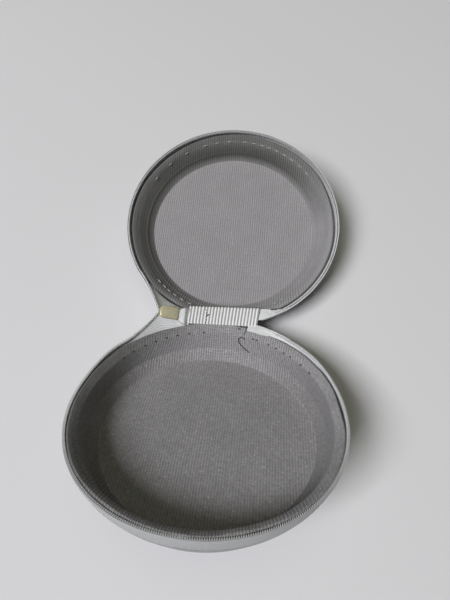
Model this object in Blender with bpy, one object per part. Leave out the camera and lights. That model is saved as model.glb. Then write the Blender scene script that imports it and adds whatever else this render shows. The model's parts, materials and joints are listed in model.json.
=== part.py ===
# Round zip-around contact lens case, open, standing on the back edges of its two shells.
# Each half is built closed, with the hinge axis on its local X axis, and is then turned open
# by the empty that carries it. Metres and degrees, +Z up, hinge along X, base in front.

import math

import bmesh
import bpy
from mathutils import Matrix, Vector

# Layers of one moulded shell, from outside to inside
RIM_RADIUS = 0.0487
COVER_THICKNESS = 0.0006
FOAM_THICKNESS = 0.0022
LINING_THICKNESS = 0.0006
LAYER_GAP = 0.0003
RIM_DROP = 0.0032
LIP_ROUNDING = 0.0008

# Inside of the base, as depths below the plane in which the two halves meet
BASE_DEPTH = 0.0163
BASE_FLOOR_RADIUS = 0.0404
BASE_SHOULDER_DEPTH = 0.0122
BASE_SHOULDER_INSET = 0.0007

# Inside of the lid, which is shallower
LID_DEPTH = 0.0125
LID_FLOOR_RADIUS = 0.0390
LID_SHOULDER_DEPTH = 0.0107
LID_SHOULDER_INSET = 0.0021

# Outside, which draws in below the zip more than the inside does
BASE_TAPER_START = 0.0095
LID_TAPER_START = 0.0085
TAPER_INSET = 0.0006
BASE_BOTTOM_SPREAD = 0.0026
LID_TOP_SPREAD = 0.0040

SHOULDER_FILLET = 0.0030
FLOOR_FILLET = 0.0026
BOTTOM_FILLET = 0.0050
FILLET_STEPS = 2
SHELL_SEGMENTS = 40

# Zip fastener: woven tapes, coils and the circle that the slider runs on
TAPE_THICKNESS = 0.0004
TAPE_CLEARANCE = 0.0003
TAPE_TOP = 0.0008
TAPE_BEND = 0.0023
TAPE_BOTTOM = 0.0078
TAPE_SECTIONS = 48
ZIP_OFFSET = 0.0006
ZIP_END_ANGLE = 20.0
COIL_THICKNESS = 0.0009
COIL_TAPE_GAP = 0.0002
COIL_TIP = 0.00045
COIL_VALLEY = 0.00105
COIL_ROOT = 0.00175
COIL_PITCH = 0.0016

# Slider and its pull
SLIDER_LENGTH = 0.0092
SLIDER_FRONT_WIDTH = 0.0058
SLIDER_REAR_WIDTH = 0.0050
SLIDER_CORNER = 0.0025
SLIDER_PARK_ANGLE = 28.7
SLIDER_START_GAP = 0.0016
PLATE_THICKNESS = 0.00065
PLATE_EDGE_ROUNDING = 0.00022
PLATE_CLEARANCE = 0.0002
COIL_CLEARANCE = 0.00034
FLANGE_THICKNESS = 0.00035
FLANGE_CLEARANCE = 0.0003
POST_WIDTH = 0.0006
POST_LENGTH = 0.0024
POST_SETBACK = 0.0012
BAIL_LENGTH = 0.0064
BAIL_WIDTH = 0.0014
BAIL_BAR = 0.0008
BAIL_WINDOW = 0.0015
BAIL_LEG = 0.0010
TAB_LENGTH = 0.0180
TAB_WIDTH = 0.0042
TAB_END_WIDTH = 0.0050
TAB_THICKNESS = 0.0009
TAB_EYE_CLEARANCE = 0.0004
TAB_EYE_BAR = 0.0009
TAB_FLOOR_CLEARANCE = 0.0004

# Closed end of the zip beside the ribbon
CHAIN_TAPE_HALF_WIDTH = 0.0034
CHAIN_END_GAP = 0.0004
CHAIN_POST_GAP = 0.0004

# Fabric across the hinge
RIBBON_LENGTH = 0.0305
RIBBON_BASE_SEAT = 0.0025
RIBBON_LID_SEAT = 0.0062
RIBBON_SKEW = 0.0016
RIBBON_TOP = 0.0009
RIBBON_HEM = 0.0020
RIBBON_THICKNESS = 0.0005
RIBBON_RIB_HEIGHT = 0.0004
RIBBON_RIB_PITCH = 0.0014
RIBBON_CLEARANCE = 0.0003
WEB_LENGTH = 0.0292
WEB_THICKNESS = 0.0004
WEB_TOP = 0.0036
WEB_SECTIONS = 12

# Folding
OPEN_ANGLE = 142.0
CHAIN_FOLD_RATIO = 0.35

WALL = COVER_THICKNESS + FOAM_THICKNESS + LINING_THICKNESS + 2 * LAYER_GAP
HINGE_REACH = RIM_RADIUS + TAPE_CLEARANCE + TAPE_THICKNESS / 2
ZIP_RADIUS = HINGE_REACH + ZIP_OFFSET
COIL_OUTER = ZIP_RADIUS - TAPE_THICKNESS / 2 - COIL_TAPE_GAP
COIL_INNER = COIL_OUTER - COIL_THICKNESS
INNER_PLATE_FACE = COIL_INNER - COIL_CLEARANCE
OUTER_PLATE_FACE = ZIP_RADIUS + TAPE_THICKNESS / 2 + PLATE_CLEARANCE
OUTER_PLATE_BACK = OUTER_PLATE_FACE + PLATE_THICKNESS
PULL_PIVOT = OUTER_PLATE_BACK + BAIL_WINDOW / 2
ZIP_START_ANGLE = SLIDER_PARK_ANGLE + math.degrees(
    (SLIDER_LENGTH / 2 + SLIDER_START_GAP) / ZIP_RADIUS
)


def clear_scene():
    for item in list(bpy.data.objects):
        bpy.data.objects.remove(item, do_unlink=True)


def make_material(name, colour, roughness, metallic=0.0):
    material = bpy.data.materials.new(name)
    material.use_nodes = True
    shader = material.node_tree.nodes["Principled BSDF"]
    shader.inputs["Base Color"].default_value = (*colour, 1.0)
    shader.inputs["Roughness"].default_value = roughness
    shader.inputs["Metallic"].default_value = metallic
    return material


def make_empty(name, parent, location=(0, 0, 0), rotation=(0, 0, 0)):
    empty = bpy.data.objects.new(name, None)
    bpy.context.scene.collection.objects.link(empty)
    empty.empty_display_size = 0.01
    empty.parent = parent
    empty.location = location
    empty.rotation_euler = rotation
    return empty


def make_object(name, bm, parent, material, sharp_angle=35.0):
    bmesh.ops.recalc_face_normals(bm, faces=bm.faces)
    mesh = bpy.data.meshes.new(name)
    bm.to_mesh(mesh)
    bm.free()
    mesh.shade_smooth()
    mesh.set_sharp_from_angle(angle=math.radians(sharp_angle))
    mesh.materials.append(material)
    item = bpy.data.objects.new(name, mesh)
    bpy.context.scene.collection.objects.link(item)
    item.parent = parent
    return item


def hide_helper(item):
    item.hide_render = True
    item.display_type = "WIRE"


def add_boolean(item, other, operation):
    hide_helper(other)
    modifier = item.modifiers.new(operation.title() + " " + other.name, "BOOLEAN")
    modifier.operation = operation
    modifier.solver = "EXACT"
    modifier.object = other


def solve(function, low, high, steps=50):
    # root of a function that is negative at low and positive at high
    for _ in range(steps):
        middle = (low + high) / 2
        if function(middle) < 0:
            low = middle
        else:
            high = middle
    return (low + high) / 2


def loft(bm, sections):
    # closed solid through cross-sections that all have the same number of points
    rings = [[bm.verts.new(point) for point in section] for section in sections]
    count = len(rings[0])
    for first, second in zip(rings, rings[1:]):
        for i in range(count):
            j = (i + 1) % count
            bm.faces.new((first[i], first[j], second[j], second[i]))
    bm.faces.new(rings[0])
    bm.faces.new(rings[-1])


def extrude_outline(bm, outline, thickness, place):
    # flat outline of (u, w) points, raised along v by thickness, then put in its place
    bottom = [bm.verts.new((u, 0, w)) for u, w in outline]
    face = bm.faces.new(bottom)
    raised = bmesh.ops.extrude_face_region(bm, geom=[face])["geom"]
    lifted = [item for item in raised if isinstance(item, bmesh.types.BMVert)]
    bmesh.ops.translate(bm, verts=lifted, vec=(0, thickness, 0))
    bmesh.ops.transform(bm, matrix=place, verts=bm.verts)


def fillet(corner, before, after, radius, steps):
    # points of the arc that rounds a corner of a profile
    corner, before, after = Vector(corner), Vector(before), Vector(after)
    to_before = (before - corner).normalized()
    to_after = (after - corner).normalized()
    half = to_before.angle(to_after) / 2
    longest = 0.45 * min((before - corner).length, (after - corner).length)
    reach = min(radius / math.tan(half), longest)
    start, end = corner + to_before * reach, corner + to_after * reach
    centre = corner + (to_before + to_after).normalized() * (reach / math.cos(half))
    points = []
    for i in range(steps + 1):
        arm = (start - centre).lerp(end - centre, i / steps)
        points.append(centre + arm.normalized() * (start - centre).length)
    return points


def cup_profile(rim_radius, depth, floor_radius, shoulder_depth, shoulder_inset, rounding):
    # one face of a shell as (radius, depth) points, from the rim to the middle of the floor
    rim = (rim_radius, RIM_DROP)
    shoulder = (rim_radius - shoulder_inset, shoulder_depth)
    corner = (floor_radius, depth)
    middle = (0.0, depth)
    points = [Vector(rim)]
    points += fillet(shoulder, rim, corner, SHOULDER_FILLET, FILLET_STEPS)
    points += fillet(corner, shoulder, middle, rounding, FILLET_STEPS)
    points.append(Vector(middle))
    return points


def offset_profile(points, distance, top):
    # the same profile moved outwards, with its first point slid up or down to a depth of top
    moved = []
    for i, point in enumerate(points):
        normals = []
        for a, b in ((i - 1, i), (i, i + 1)):
            if a >= 0 and b < len(points):
                along = (points[b] - points[a]).normalized()
                normals.append(Vector((-along.y, along.x)))
        normal = sum(normals, Vector((0, 0))).normalized()
        if normal.dot(Vector((1, 1))) < 0:
            normal = -normal
        stretch = abs(normal.dot(normals[0]))
        moved.append(point + normal * (distance / stretch))
    moved[-1].x = 0.0
    first, second = moved[0], moved[1]
    slope = (second.x - first.x) / (second.y - first.y)
    moved[0] = Vector((first.x + slope * (top - first.y), top))
    return moved


def revolve(name, profile, side, parent, material):
    # turns a closed (radius, depth) profile about the shell's own axis
    # a facet, not a corner, faces the hinge
    bm = bmesh.new()
    turn = Matrix.Rotation(math.pi / SHELL_SEGMENTS, 4, "Z")
    verts = [bm.verts.new(turn @ Vector((0, r, side * d))) for r, d in profile]
    edges = [bm.edges.new(pair) for pair in zip(verts, verts[1:])]
    bmesh.ops.spin(
        bm, geom=verts + edges, cent=(0, 0, 0), axis=(0, 0, 1),
        angle=2 * math.pi, steps=SHELL_SEGMENTS, use_merge=True,
    )
    bmesh.ops.remove_doubles(bm, verts=bm.verts, dist=1e-6)
    bmesh.ops.translate(bm, verts=bm.verts, vec=(0, -HINGE_REACH, 0))
    return make_object(name, bm, parent, material)


def build_shell(prefix, inside, outside, side, parent, materials):
    # cover, foam and lining of one half; the lining's lip laps over the other two
    under_lip = RIM_DROP + LINING_THICKNESS
    top = under_lip + LAYER_GAP

    outer = offset_profile(outside, 0.0, top)
    inner = offset_profile(outside, -COVER_THICKNESS, top)
    revolve(prefix + "_cover", outer[::-1] + inner, side, parent, materials["cover"])

    outer = offset_profile(outside, -COVER_THICKNESS - LAYER_GAP, top)
    inner = offset_profile(inside, LINING_THICKNESS + LAYER_GAP, top)
    revolve(prefix + "_foam", outer[::-1] + inner, side, parent, materials["foam"])

    outer = offset_profile(inside, LINING_THICKNESS, under_lip)
    inner = offset_profile(inside, 0.0, RIM_DROP)
    rounded = fillet(inner[0], (RIM_RADIUS, RIM_DROP), inner[1], LIP_ROUNDING, 1)
    lip = [Vector((RIM_RADIUS, under_lip)), Vector((RIM_RADIUS, RIM_DROP))]
    loop = outer[::-1] + lip + rounded + inner[1:]
    revolve(prefix + "_lining", loop, side, parent, materials["lining"])


def ring_point(angle, radius, height, centre_y):
    # point at an angle from the hinge side, turning towards the slider's parked end
    turn = math.radians(angle)
    x = -radius * math.sin(turn)
    y = centre_y + radius * math.cos(turn) - HINGE_REACH
    return Vector((x, y, height))


def build_tape(name, side, parent, material):
    # sewn to the shell's band below, leaning out to the slider's circle, upright beside the coil
    half = TAPE_THICKNESS / 2
    sections = []
    for i in range(TAPE_SECTIONS + 1):
        share = i / TAPE_SECTIONS
        angle = ZIP_START_ANGLE + share * (360 - ZIP_END_ANGLE - ZIP_START_ANGLE)
        sections.append([
            ring_point(angle, ZIP_RADIUS - half, side * TAPE_TOP, ZIP_OFFSET),
            ring_point(angle, ZIP_RADIUS + half, side * TAPE_TOP, ZIP_OFFSET),
            ring_point(angle, ZIP_RADIUS + half, side * TAPE_BEND, ZIP_OFFSET),
            ring_point(angle, HINGE_REACH + half, side * TAPE_BOTTOM, 0.0),
            ring_point(angle, HINGE_REACH - half, side * TAPE_BOTTOM, 0.0),
            ring_point(angle, ZIP_RADIUS - half, side * TAPE_BEND, ZIP_OFFSET),
        ])
    bm = bmesh.new()
    loft(bm, sections)
    return make_object(name, bm, parent, material)


def build_coil(name, side, first_tip, parent, material):
    # row of teeth towards the meeting plane; the halves are half a pitch apart, so they mesh
    span = math.radians(360 - ZIP_END_ANGLE - ZIP_START_ANGLE)
    count = 2 * int(span * ZIP_RADIUS / COIL_PITCH)
    sections = []
    for i in range(count + 1):
        angle = ZIP_START_ANGLE + math.degrees(span) * i / count
        tip = COIL_TIP if i % 2 == first_tip else COIL_VALLEY
        sections.append([
            ring_point(angle, COIL_INNER, side * COIL_ROOT, ZIP_OFFSET),
            ring_point(angle, COIL_OUTER, side * COIL_ROOT, ZIP_OFFSET),
            ring_point(angle, COIL_OUTER, side * tip, ZIP_OFFSET),
            ring_point(angle, COIL_INNER, side * tip, ZIP_OFFSET),
        ])
    bm = bmesh.new()
    loft(bm, sections)
    return make_object(name, bm, parent, material, 20.0)


def build_chain_end(parent, material):
    # meshed stretch from the ribbon's end into the back of the slider, on its own tape
    half = TAPE_THICKNESS / 2
    first = math.degrees(math.asin((RIBBON_LENGTH / 2 + CHAIN_END_GAP) / ZIP_RADIUS))
    post_back = SLIDER_LENGTH / 2 - POST_SETBACK - POST_LENGTH
    last = SLIDER_PARK_ANGLE + math.degrees((post_back - CHAIN_POST_GAP) / ZIP_RADIUS)
    count = max(2, round(math.radians(last - first) * ZIP_RADIUS / (COIL_PITCH / 2)))
    sections = []
    for i in range(count + 1):
        angle = first + (last - first) * i / count
        crest = COIL_INNER if i % 2 else COIL_INNER + COIL_THICKNESS / 3
        outline = (
            (ZIP_RADIUS + half, -CHAIN_TAPE_HALF_WIDTH),
            (ZIP_RADIUS + half, CHAIN_TAPE_HALF_WIDTH),
            (ZIP_RADIUS - half, CHAIN_TAPE_HALF_WIDTH),
            (ZIP_RADIUS - half, COIL_ROOT),
            (crest, COIL_ROOT),
            (crest, -COIL_ROOT),
            (ZIP_RADIUS - half, -COIL_ROOT),
            (ZIP_RADIUS - half, -CHAIN_TAPE_HALF_WIDTH),
        )
        sections.append([ring_point(angle, r, z, ZIP_OFFSET) for r, z in outline])
    bm = bmesh.new()
    loft(bm, sections)
    return make_object("zip_chain_end", bm, parent, material, 20.0)


def slider_outline(inset=0.0):
    # plan of a plate as (u, w), with u along the zip towards the open side
    half = SLIDER_LENGTH / 2 - inset
    front, rear = SLIDER_FRONT_WIDTH / 2 - inset, SLIDER_REAR_WIDTH / 2 - inset
    corners = [(-half, -rear), (half, -front), (half, front), (-half, rear)]
    radii = [PLATE_THICKNESS, SLIDER_CORNER, SLIDER_CORNER, PLATE_THICKNESS]
    points = []
    for i, corner in enumerate(corners):
        before, after = corners[i - 1], corners[(i + 1) % 4]
        points += fillet(corner, before, after, radii[i], 3)
    return points


def slider_block(name, parent, material, outline, low, high):
    # outline raised between two distances from the zip circle's centre
    bm = bmesh.new()
    extrude_outline(bm, outline, high - low, Matrix.Translation((0, low, 0)))
    return make_object(name, bm, parent, material)


def rectangle(u_low, u_high, w_half):
    return [(u_low, -w_half), (u_high, -w_half), (u_high, w_half), (u_low, w_half)]


def round_edges(item):
    bevel = item.modifiers.new("Rounded edges", "BEVEL")
    bevel.width = PLATE_EDGE_ROUNDING
    bevel.segments = 1
    bevel.limit_method = "ANGLE"
    bevel.angle_limit = math.radians(60)


def build_slider(parent, material):
    # two plates joined by the post; the inner plate's flanges keep the coils in
    flange_top = ZIP_RADIUS - TAPE_THICKNESS / 2 - FLANGE_CLEARANCE
    plate_back = INNER_PLATE_FACE - PLATE_THICKNESS
    outline = slider_outline()
    body = slider_block("slider_body", parent, material, outline, plate_back, flange_top)

    overrun = SLIDER_LENGTH
    channel = rectangle(-overrun, overrun, SLIDER_REAR_WIDTH / 2 - FLANGE_THICKNESS)
    cutter = slider_block("channel_cutter", parent, material, channel,
                          INNER_PLATE_FACE, flange_top + PLATE_THICKNESS)
    round_edges(body)
    add_boolean(body, cutter, "DIFFERENCE")

    plate = slider_block("outer_plate", parent, material, outline,
                         OUTER_PLATE_FACE, OUTER_PLATE_BACK)
    round_edges(plate)

    post_front = SLIDER_LENGTH / 2 - POST_SETBACK
    post_back = post_front - POST_LENGTH
    post_middle = (post_front + post_back) / 2
    post = [
        (post_back, 0.0), (post_middle, -POST_WIDTH / 2), (post_front, -POST_WIDTH / 2),
        (post_front, POST_WIDTH / 2), (post_middle, POST_WIDTH / 2),
    ]
    sunk = PLATE_THICKNESS / 2
    post = slider_block("slider_post", parent, material, post,
                        INNER_PLATE_FACE - sunk, OUTER_PLATE_FACE + sunk)
    add_boolean(body, post, "UNION")
    add_boolean(body, plate, "UNION")

    # the bail: a bar on two legs, which the pull tab's eye goes round
    bail_top = OUTER_PLATE_BACK + BAIL_WINDOW + BAIL_BAR
    bail = rectangle(-BAIL_LENGTH / 2, BAIL_LENGTH / 2, BAIL_WIDTH / 2)
    bail = slider_block("slider_bail", parent, material, bail,
                        OUTER_PLATE_BACK - sunk, bail_top)
    rounding = bail.modifiers.new("Rounded shoulders", "BEVEL")
    rounding.width = BAIL_BAR / 2
    rounding.segments = 2
    rounding.limit_method = "ANGLE"
    window = rectangle(BAIL_LEG - BAIL_LENGTH / 2, BAIL_LENGTH / 2 - BAIL_LEG, BAIL_WIDTH)
    window = slider_block("bail_window", parent, material, window,
                          OUTER_PLATE_BACK, OUTER_PLATE_BACK + BAIL_WINDOW)
    add_boolean(bail, window, "DIFFERENCE")
    add_boolean(body, bail, "UNION")
    return body


def build_tab(parent, material):
    # flat pull with an eye at its pivot and a wider, rounded grip end
    half, tip = TAB_WIDTH / 2, TAB_END_WIDTH / 2
    start = -TAB_EYE_BAR / 2
    neck = start + BAIL_LENGTH
    corners = [(start, -half), (neck, -half), (TAB_LENGTH, -tip),
               (TAB_LENGTH, tip), (neck, half), (start, half)]
    radii = [TAB_EYE_BAR, TAB_WIDTH, TAB_WIDTH / 2, TAB_WIDTH / 2, TAB_WIDTH, TAB_EYE_BAR]
    outline = []
    for i, corner in enumerate(corners):
        outline += fillet(corner, corners[i - 1], corners[(i + 1) % 6], radii[i], 3)
    bm = bmesh.new()
    extrude_outline(bm, outline, TAB_THICKNESS, Matrix.Translation((0, -TAB_THICKNESS / 2, 0)))
    tab = make_object("pull_tab", bm, parent, material)
    round_edges(tab)

    eye_half = BAIL_WIDTH / 2 + TAB_EYE_CLEARANCE
    eye = rectangle(TAB_EYE_BAR / 2, BAIL_LENGTH / 2 + TAB_EYE_CLEARANCE, eye_half)
    bm = bmesh.new()
    extrude_outline(bm, eye, 3 * TAB_THICKNESS, Matrix.Translation((0, -1.5 * TAB_THICKNESS, 0)))
    add_boolean(tab, make_object("eye_cutter", bm, parent, material), "DIFFERENCE")
    return tab


def build_ribbon(base_turn, lid_turn, parent, material):
    # ribbed ribbon over the hinge, its hems turned down onto the two lips, sewn a little askew
    seat = RIM_DROP - RIBBON_CLEARANCE
    count = 2 * round(RIBBON_LENGTH / RIBBON_RIB_PITCH)
    sections = []
    for i in range(count + 1):
        share = i / count - 0.5
        x = RIBBON_LENGTH * share
        crest = RIBBON_RIB_HEIGHT if i % 2 else 0.0
        base_seat = RIBBON_BASE_SEAT - RIBBON_SKEW * share
        lid_seat = RIBBON_LID_SEAT + RIBBON_SKEW * share
        foot = lid_seat - RIBBON_HEM
        under = RIBBON_TOP + RIBBON_THICKNESS

        def base_point(seat_y, depth):
            return base_turn @ Vector((x, -seat_y, -depth))

        def lid_point(seat_y, depth):
            return lid_turn @ Vector((x, -seat_y, depth))

        sections.append([
            base_point(base_seat - RIBBON_THICKNESS, seat), base_point(base_seat, seat),
            base_point(base_seat, RIBBON_TOP - crest), lid_point(lid_seat, RIBBON_TOP - crest),
            lid_point(foot, seat), lid_point(foot - RIBBON_THICKNESS, seat),
            lid_point(lid_seat - 2 * RIBBON_THICKNESS, under),
            base_point(base_seat - RIBBON_THICKNESS, under),
        ])
    bm = bmesh.new()
    loft(bm, sections)
    return make_object("hinge_ribbon", bm, parent, material, 20.0)


def build_web(base_turn, lid_turn, parent, material):
    # cover cloth that joins the outsides of the shells, slack under the ribbon while open
    half = WEB_THICKNESS / 2
    sections = []
    for i in range(WEB_SECTIONS + 1):
        x = WEB_LENGTH * (i / WEB_SECTIONS - 0.5)
        reach = math.sqrt(HINGE_REACH ** 2 - x ** 2) - HINGE_REACH
        brow = reach * WEB_TOP / TAPE_BOTTOM

        def leg(turn, side):
            return [
                turn @ Vector((x, reach - half, side * TAPE_BOTTOM)),
                turn @ Vector((x, brow - half, side * (WEB_TOP - half))),
                turn @ Vector((x, brow + half, side * (WEB_TOP + half))),
                turn @ Vector((x, reach + half, side * TAPE_BOTTOM)),
            ]

        sections.append(leg(base_turn, -1)[:2] + leg(lid_turn, 1)[1::-1]
                        + leg(lid_turn, 1)[:1:-1] + leg(base_turn, -1)[2:])
    bm = bmesh.new()
    loft(bm, sections)
    return make_object("hinge_web", bm, parent, material)


def resting_height(outside, tilt):
    # how far the lowest point of a shell lies below the hinge when its front is tilted up
    facet = math.cos(math.pi / SHELL_SEGMENTS)
    drops = []
    for r, d in outside:
        drops.append(d * math.cos(tilt) - (HINGE_REACH - r * facet) * math.sin(tilt))
    return max(drops)


def world_bounds(items):
    # lowest and highest corner of the finished solids, modifiers included
    bpy.context.view_layer.update()
    graph = bpy.context.evaluated_depsgraph_get()
    points = []
    for item in items:
        evaluated = item.evaluated_get(graph)
        mesh = evaluated.to_mesh()
        points += [evaluated.matrix_world @ vertex.co for vertex in mesh.vertices]
        evaluated.to_mesh_clear()
    low = Vector([min(point[i] for point in points) for i in range(3)])
    high = Vector([max(point[i] for point in points) for i in range(3)])
    return low, high


def main():
    clear_scene()
    cloth = make_material("cover_cloth", (0.36, 0.37, 0.37), 0.85)
    foam = make_material("moulded_foam", (0.10, 0.10, 0.10), 0.90)
    knit = make_material("lining_knit", (0.29, 0.29, 0.29), 0.90)
    tape = make_material("zip_tape", (0.42, 0.44, 0.44), 0.80)
    nylon = make_material("zip_coil", (0.40, 0.42, 0.42), 0.45)
    rib = make_material("hinge_ribbon", (0.62, 0.62, 0.62), 0.75)
    metal = make_material("slider_metal", (0.42, 0.40, 0.28), 0.35, 0.9)
    layers = {"cover": cloth, "foam": foam, "lining": knit}

    base_inside = cup_profile(RIM_RADIUS - WALL, BASE_DEPTH, BASE_FLOOR_RADIUS,
                              BASE_SHOULDER_DEPTH, BASE_SHOULDER_INSET, FLOOR_FILLET)
    base_outside = cup_profile(RIM_RADIUS, BASE_DEPTH + WALL,
                               BASE_FLOOR_RADIUS + BASE_BOTTOM_SPREAD,
                               BASE_TAPER_START, TAPER_INSET, BOTTOM_FILLET)
    lid_inside = cup_profile(RIM_RADIUS - WALL, LID_DEPTH, LID_FLOOR_RADIUS,
                             LID_SHOULDER_DEPTH, LID_SHOULDER_INSET, FLOOR_FILLET)
    lid_outside = cup_profile(RIM_RADIUS, LID_DEPTH + WALL,
                              LID_FLOOR_RADIUS + LID_TOP_SPREAD,
                              LID_TAPER_START, TAPER_INSET, BOTTOM_FILLET)

    # both shells stand on the table, so the hinge hangs at the same height over each
    spread = math.radians(180 - OPEN_ANGLE)
    base_tilt = solve(
        lambda tilt: resting_height(lid_outside, spread - tilt)
        - resting_height(base_outside, tilt), 0.0, spread)
    base_angle = -base_tilt
    lid_angle = base_angle - math.radians(OPEN_ANGLE)
    chain_angle = base_angle - math.radians(OPEN_ANGLE * CHAIN_FOLD_RATIO)

    root = make_empty("case_root", None)
    base = make_empty("base_frame", root, rotation=(base_angle, 0, 0))
    lid = make_empty("lid_frame", root, rotation=(lid_angle, 0, 0))
    chain = make_empty("chain_frame", root, rotation=(chain_angle, 0, 0))

    build_shell("base", base_inside, base_outside, -1, base, layers)
    build_shell("lid", lid_inside, lid_outside, 1, lid, layers)
    build_tape("base_zip_tape", -1, base, tape)
    build_tape("lid_zip_tape", 1, lid, tape)
    build_coil("base_zip_coil", -1, 0, base, nylon)
    build_coil("lid_zip_coil", 1, 1, lid, nylon)
    build_chain_end(chain, nylon)

    base_turn = Matrix.Rotation(base_angle, 3, "X")
    lid_turn = Matrix.Rotation(lid_angle, 3, "X")
    build_ribbon(base_turn, lid_turn, root, rib)
    build_web(base_turn, lid_turn, root, cloth)

    # the slider turns about the middle of the zip circle; its local Y points outwards
    park = math.radians(SLIDER_PARK_ANGLE)
    zip_centre = (0, ZIP_OFFSET - HINGE_REACH, 0)
    slider = make_empty("slider_frame", chain, zip_centre, (0, 0, park))
    mirror = make_empty("slider_sense", slider, (0, 0, 0), (0, math.pi, 0))
    build_slider(mirror, metal)

    # the tab hangs until its tip is just over the table
    floor = -resting_height(base_outside, base_tilt)
    turn = Matrix.Rotation(chain_angle, 3, "X") @ Matrix.Rotation(park, 3, "Z")
    turn = turn @ Matrix.Rotation(math.pi, 3, "Y")
    centre = Matrix.Rotation(chain_angle, 3, "X") @ Vector(zip_centre)
    pivot = centre + turn @ Vector((0, PULL_PIVOT, 0))

    def tip_height(swing):
        along = turn @ Vector((-math.cos(swing), math.sin(swing), 0))
        across = turn @ Vector((0, 0, TAB_END_WIDTH / 2))
        lowest = pivot.z + along.z * TAB_LENGTH - abs(across.z) - TAB_THICKNESS / 2
        return lowest - floor - TAB_FLOOR_CLEARANCE

    swing = solve(lambda angle: -tip_height(angle), 0.0, math.radians(60))
    pull = make_empty("pull_frame", mirror, (0, PULL_PIVOT, 0), (0, 0, math.pi - swing))
    build_tab(pull, metal)

    # origin under the middle of the open case, on the table
    solids = [
        item for item in bpy.data.objects if item.type == "MESH" and not item.hide_render
    ]
    low, high = world_bounds(solids)
    root.location = (-(low.x + high.x) / 2, -(low.y + high.y) / 2, -low.z)
    bpy.context.view_layer.update()


main()
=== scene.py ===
import json
from math import atan2, copysign, cos, degrees, hypot, pi, radians, sin, sqrt, tan

import bmesh
import bpy
from mathutils import Matrix, Vector, noise


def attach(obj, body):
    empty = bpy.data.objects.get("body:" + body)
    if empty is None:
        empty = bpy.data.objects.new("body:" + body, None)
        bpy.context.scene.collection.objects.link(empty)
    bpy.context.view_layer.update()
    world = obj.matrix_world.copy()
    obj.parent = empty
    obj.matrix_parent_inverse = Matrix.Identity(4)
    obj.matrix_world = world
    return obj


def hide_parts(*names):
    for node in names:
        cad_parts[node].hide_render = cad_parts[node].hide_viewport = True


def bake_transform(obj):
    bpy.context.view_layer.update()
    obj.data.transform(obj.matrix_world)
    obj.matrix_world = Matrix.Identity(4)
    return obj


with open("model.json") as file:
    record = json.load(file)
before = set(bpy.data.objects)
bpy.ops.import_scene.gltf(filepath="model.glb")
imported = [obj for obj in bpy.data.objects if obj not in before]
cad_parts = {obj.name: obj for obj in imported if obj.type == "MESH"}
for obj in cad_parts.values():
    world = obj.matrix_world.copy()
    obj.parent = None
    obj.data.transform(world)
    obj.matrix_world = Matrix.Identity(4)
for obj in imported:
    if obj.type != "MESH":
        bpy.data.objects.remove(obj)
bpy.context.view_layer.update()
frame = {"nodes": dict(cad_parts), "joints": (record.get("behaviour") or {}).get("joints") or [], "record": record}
print("frame loaded with", len(frame["nodes"]), "solids")

# sizes shared by all pieces, in mm, the same as the solids'
case = {
    "hingeReach": 49.2, "rimRadius": 48.7, "wall": 4,
    "zipRadius": 49.8, "zipOffset": 0.6, "zipEnd": 340, "sliderMouth": 34.4,
}
halves = {
    "base": {"side": 1, "depth": 16.3, "floor": 40.4, "shoulder": (44, 12.2),
             "taper": (48.1, 9.5), "bottom": (43, 20.3), "mount": "base_bottom"},
    "lid": {"side": -1, "depth": 12.5, "floor": 39, "shoulder": (41.6, 9.6),
            "taper": (48.1, 8.5), "bottom": (43, 16.5), "mount": "lid_top"},
}

joints = {joint["name"]: joint for joint in frame["joints"]}
mounts = {mount["name"]: mount for mount in frame["record"]["mounts"]}
hinge = Vector(joints["lid_hinge"]["pos_m"])
alongHinge = Vector((1, 0, 0))
mm = 0.001
scene = bpy.context.scene
toMetres = Matrix.Scale(mm, 4)


def frameOf(origin, up):
    across = up.cross(alongHinge)
    turn = Matrix((alongHinge, across, up)).transposed().to_4x4()
    return Matrix.Translation(origin) @ turn @ toMetres


# each half gets a frame in mm: middle of its rim, +Z out of the opening
for half in halves.values():
    half["up"] = -Vector(mounts[half["mount"]]["axis"]).normalized()
    across = half["up"].cross(alongHinge)
    half["tilt"] = atan2(-across.z, across.y)
    half["frame"] = frameOf(hinge - across * half["side"] * case["hingeReach"] * mm, half["up"])
zipUp = Vector(joints["slider_travel"]["axis"]).normalized()
zipFrame = frameOf(hinge, zipUp)


def smooth(share):
    share = min(1, max(0, share))
    return share * share * (3 - 2 * share)


def rise(value, stretch):
    # 0 to 1 along a stretch, given by its start and its length, which is negative for a fall
    start, length = stretch
    return smooth((value - start) / length)


def uneven(x, y, z):
    return noise.noise(Vector((x, y, z)))


def between(start, end, share):
    return start + (end - start) * share


def bump(angle, middle, reach):
    # 1 at the middle, falling to 0 at the reach
    return max(0, 1 - ((angle - middle) / reach) ** 2) ** 2


# the soft base is pressed a little square: its front corners by middle and reach in degrees and height in mm
swell = {"corners": ((126, 52, 1.6), (236, 48, 1.1)), "fade": (13.5, -9), "ramp": (36, 6)}


def swellAt(half, angle, depth):
    if half == "lid":
        return 0
    out = sum(height * bump(angle % 360, middle, reach) for middle, reach, height in swell["corners"])
    return out * rise(depth, swell["fade"])


def swellShell(bm, half):
    for vert in bm.verts:
        co = vert.co
        radius = hypot(co.x, co.y)
        if radius > swell["ramp"][0]:
            angle = degrees(atan2(-co.x, halves[half]["side"] * co.y))
            share = rise(radius, swell["ramp"])
            wider = 1 + swellAt(half, angle, -co.z) * share / radius
            co.x, co.y = co.x * wider, co.y * wider


def inHalf(half, x, y, z):
    return halves[half]["frame"] @ Vector((x, y, z))


def ringPoint(half, angle, radius, depth, offset=0):
    turn, side = radians(angle), halves[half]["side"]
    radius += swellAt(half, angle, depth)
    x, y = -radius * sin(turn), side * (offset + radius * cos(turn))
    return inHalf(half, x, y, -depth)


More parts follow.
